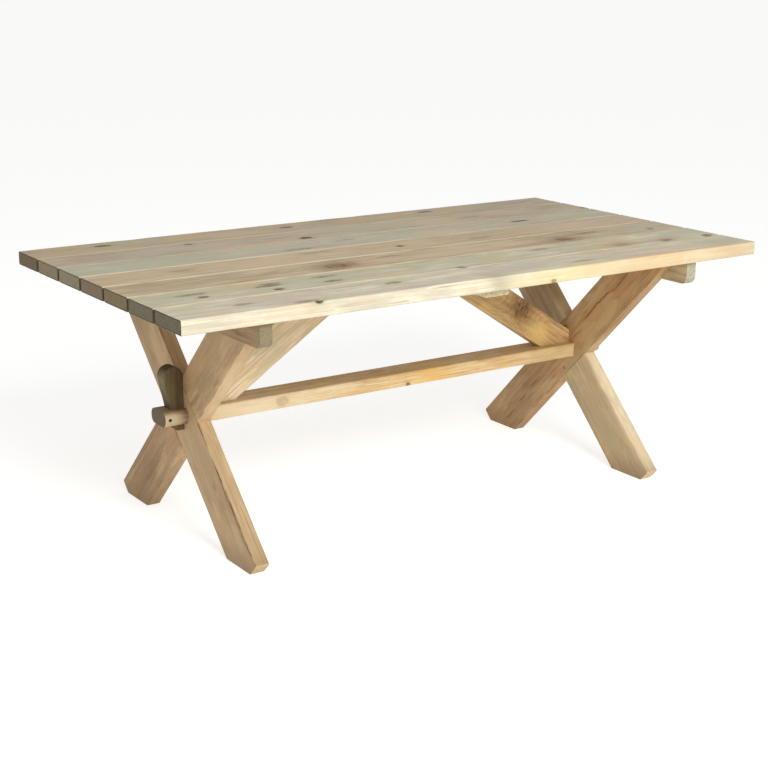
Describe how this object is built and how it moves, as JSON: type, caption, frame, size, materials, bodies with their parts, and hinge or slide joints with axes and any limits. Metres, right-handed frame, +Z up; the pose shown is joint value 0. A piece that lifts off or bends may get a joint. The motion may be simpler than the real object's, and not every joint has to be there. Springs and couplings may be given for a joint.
{
  "type": "outdoor trestle table",
  "caption": "Long plank-topped outdoor table on crossed-leg trestles, tied by a keyed through-tenon stretcher and two diagonal braces.",
  "frame": {"origin": "on the floor, under the middle of the tabletop", "axes": "+X along the table's length, +Y across it towards the rear edge, +Z up"},
  "size_m": [1.94, 1.057, 0.754],
  "materials": {
    "top_timber": "satin, weathered treated softwood",
    "frame_timber": "satin, planed treated softwood",
    "key_timber": "matt, dark treated softwood",
    "screw_zinc": "zinc plated"
  },
  "bodies": {
    "table": {"plank_1": "top_timber", "plank_2": "top_timber", "plank_3": "top_timber", "plank_4": "top_timber", "plank_5": "top_timber", "plank_6": "top_timber", "plank_7": "top_timber", "bearer_left": "frame_timber", "bearer_right": "frame_timber", "centre_batten": "frame_timber", "leg_left_front": "frame_timber", "leg_left_rear": "frame_timber", "leg_right_front": "frame_timber", "leg_right_rear": "frame_timber", "stretcher": "frame_timber", "brace_left": "frame_timber", "brace_right": "frame_timber", "plank_screws_left": "screw_zinc", "plank_screws_right": "screw_zinc", "batten_screws": "screw_zinc", "bearer_screws_left": "screw_zinc", "bearer_screws_right": "screw_zinc", "lap_screws_left": "screw_zinc", "lap_screws_right": "screw_zinc", "brace_screws_left": "screw_zinc", "brace_screws_right": "screw_zinc"},
    "left_key": {"key_left": "key_timber"},
    "right_key": {"key_right": "key_timber"}
  },
  "joints": [
    {"name": "left_key_lift", "type": "slide", "parent": "table", "child": "left_key", "axis": [0, 0, 1], "range_m": [0, 0.065]},
    {"name": "right_key_lift", "type": "slide", "parent": "table", "child": "right_key", "axis": [0, 0, 1], "range_m": [0, 0.065]}
  ]
}
